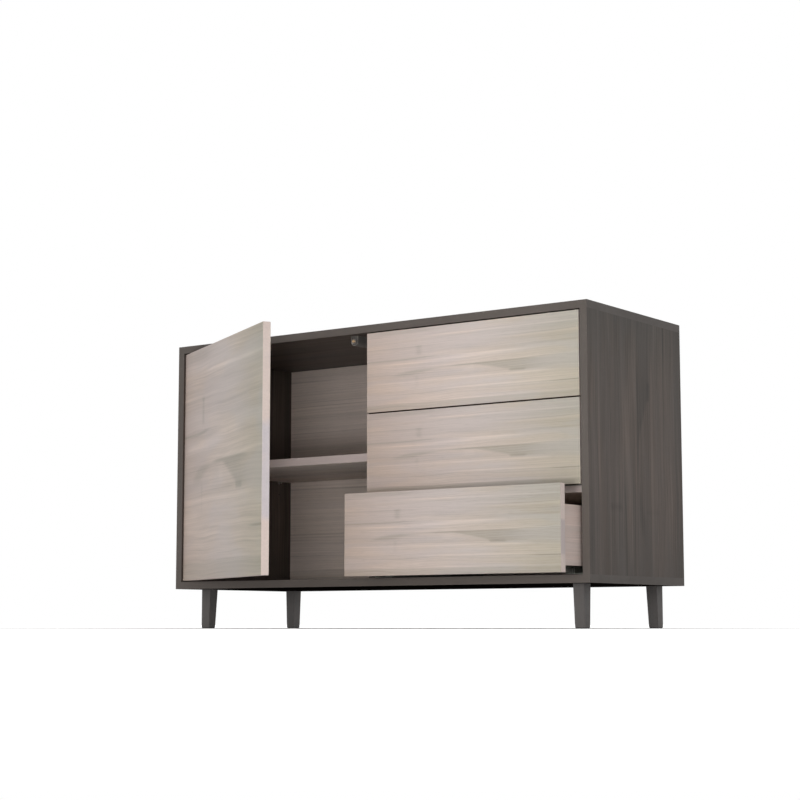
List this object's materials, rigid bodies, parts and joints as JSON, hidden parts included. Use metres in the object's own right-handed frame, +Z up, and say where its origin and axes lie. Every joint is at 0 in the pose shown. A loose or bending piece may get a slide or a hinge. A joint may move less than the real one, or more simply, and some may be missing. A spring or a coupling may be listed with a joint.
{
  "type": "sideboard",
  "caption": "Low sideboard on tapered legs: a hinged push-open door over a shelf bay beside a stack of push-open drawers on undermount slides, light fronts in a dark frame.",
  "frame": {"origin": "on the floor, under the middle of the carcass's plan", "axes": "+Z up, the door and drawer fronts face -Y, +X to the viewer's right"},
  "size_m": [1.2, 0.7239, 0.715],
  "materials": {
    "dark_wood": "satin",
    "shelf_wood": "satin",
    "leg_wood": "satin",
    "light_wood": "satin",
    "drawer_box_wood": "satin",
    "dowel_wood": "raw",
    "slide_steel": "satin",
    "bright_steel": "nickel plated",
    "latch_metal": "satin",
    "brass": "satin",
    "glide_plastic": "matt"
  },
  "bodies": {
    "carcass": {"top_panel": "dark_wood", "bottom_panel": "dark_wood", "side_panel_left": "dark_wood", "side_panel_right": "dark_wood", "back_panel": "shelf_wood", "vertical_divider": "dark_wood", "drawer_divider_lower": "shelf_wood", "drawer_divider_upper": "shelf_wood", "adjustable_shelf": "shelf_wood", "shelf_pins": "bright_steel", "leg_front_left": "leg_wood", "leg_front_right": "leg_wood", "leg_rear_right": "leg_wood", "leg_rear_left": "leg_wood", "foot_glides": "glide_plastic", "leg_bolts": "bright_steel", "latch_housing": "latch_metal", "latch_screws": "bright_steel", "hinge_arm_lower": "bright_steel", "hinge_plate_lower": "bright_steel", "hinge_arm_upper": "bright_steel", "hinge_plate_upper": "bright_steel", "hinge_plate_screws": "bright_steel", "hinge_arm_screws": "bright_steel", "slide_screws": "slide_steel", "carcass_dowels": "dowel_wood", "lower_slide_cabinet_members": "slide_steel", "middle_slide_cabinet_members": "slide_steel", "upper_slide_cabinet_members": "slide_steel"},
    "door": {"door_panel": "light_wood", "hinge_cup_lower": "bright_steel", "hinge_cup_upper": "bright_steel", "hinge_pin_lower": "bright_steel", "hinge_pin_upper": "bright_steel", "hinge_cup_screws": "bright_steel", "strike_plate": "bright_steel"},
    "latch": {"latch_plunger": "brass"},
    "lower_drawer": {"lower_drawer_front": "light_wood", "lower_drawer_side_left": "drawer_box_wood", "lower_drawer_side_right": "drawer_box_wood", "lower_drawer_bottom": "drawer_box_wood", "lower_drawer_back": "drawer_box_wood", "lower_slide_drawer_members": "slide_steel"},
    "lower_middle_members": {"lower_slide_middle_members": "slide_steel"},
    "middle_drawer": {"middle_drawer_front": "light_wood", "middle_drawer_side_left": "drawer_box_wood", "middle_drawer_side_right": "drawer_box_wood", "middle_drawer_bottom": "drawer_box_wood", "middle_drawer_back": "drawer_box_wood", "middle_slide_drawer_members": "slide_steel"},
    "middle_middle_members": {"middle_slide_middle_members": "slide_steel"},
    "upper_drawer": {"upper_drawer_front": "light_wood", "upper_drawer_side_left": "drawer_box_wood", "upper_drawer_side_right": "drawer_box_wood", "upper_drawer_bottom": "drawer_box_wood", "upper_drawer_back": "drawer_box_wood", "upper_slide_drawer_members": "slide_steel"},
    "upper_middle_members": {"upper_slide_middle_members": "slide_steel"}
  },
  "joints": [
    {"name": "door_hinge", "type": "hinge", "parent": "carcass", "child": "door", "pos_m": [-0.57, -0.213, 0.4065], "axis": [0, 0, 1], "range_deg": [-64.9, 30.1]},
    {"name": "lower_drawer_slide", "type": "slide", "parent": "carcass", "child": "lower_drawer", "axis": [0, -1, 0], "range_m": [-0.0885, 0.254]},
    {"name": "middle_drawer_slide", "type": "slide", "parent": "carcass", "child": "middle_drawer", "axis": [0, -1, 0], "range_m": [-0.0025, 0.34]},
    {"name": "upper_drawer_slide", "type": "slide", "parent": "carcass", "child": "upper_drawer", "axis": [0, -1, 0], "range_m": [-0.0025, 0.34]},
    {"name": "lower_middle_member_slide", "type": "slide", "parent": "carcass", "child": "lower_middle_members", "axis": [0, -1, 0], "range_m": [-0.04425, 0.127]},
    {"name": "middle_middle_member_slide", "type": "slide", "parent": "carcass", "child": "middle_middle_members", "axis": [0, -1, 0], "range_m": [-0.00125, 0.17]},
    {"name": "upper_middle_member_slide", "type": "slide", "parent": "carcass", "child": "upper_middle_members", "axis": [0, -1, 0], "range_m": [-0.00125, 0.17]},
    {"name": "latch_push", "type": "slide", "parent": "carcass", "child": "latch", "axis": [0, 1, 0], "range_m": [0, 0.003], "stiffness_N_per_m": 400}
  ],
  "couplings": [
    {"joint": "lower_middle_member_slide", "follows": "lower_drawer_slide", "ratio": 0.5},
    {"joint": "middle_middle_member_slide", "follows": "middle_drawer_slide", "ratio": 0.5},
    {"joint": "upper_middle_member_slide", "follows": "upper_drawer_slide", "ratio": 0.5}
  ]
}
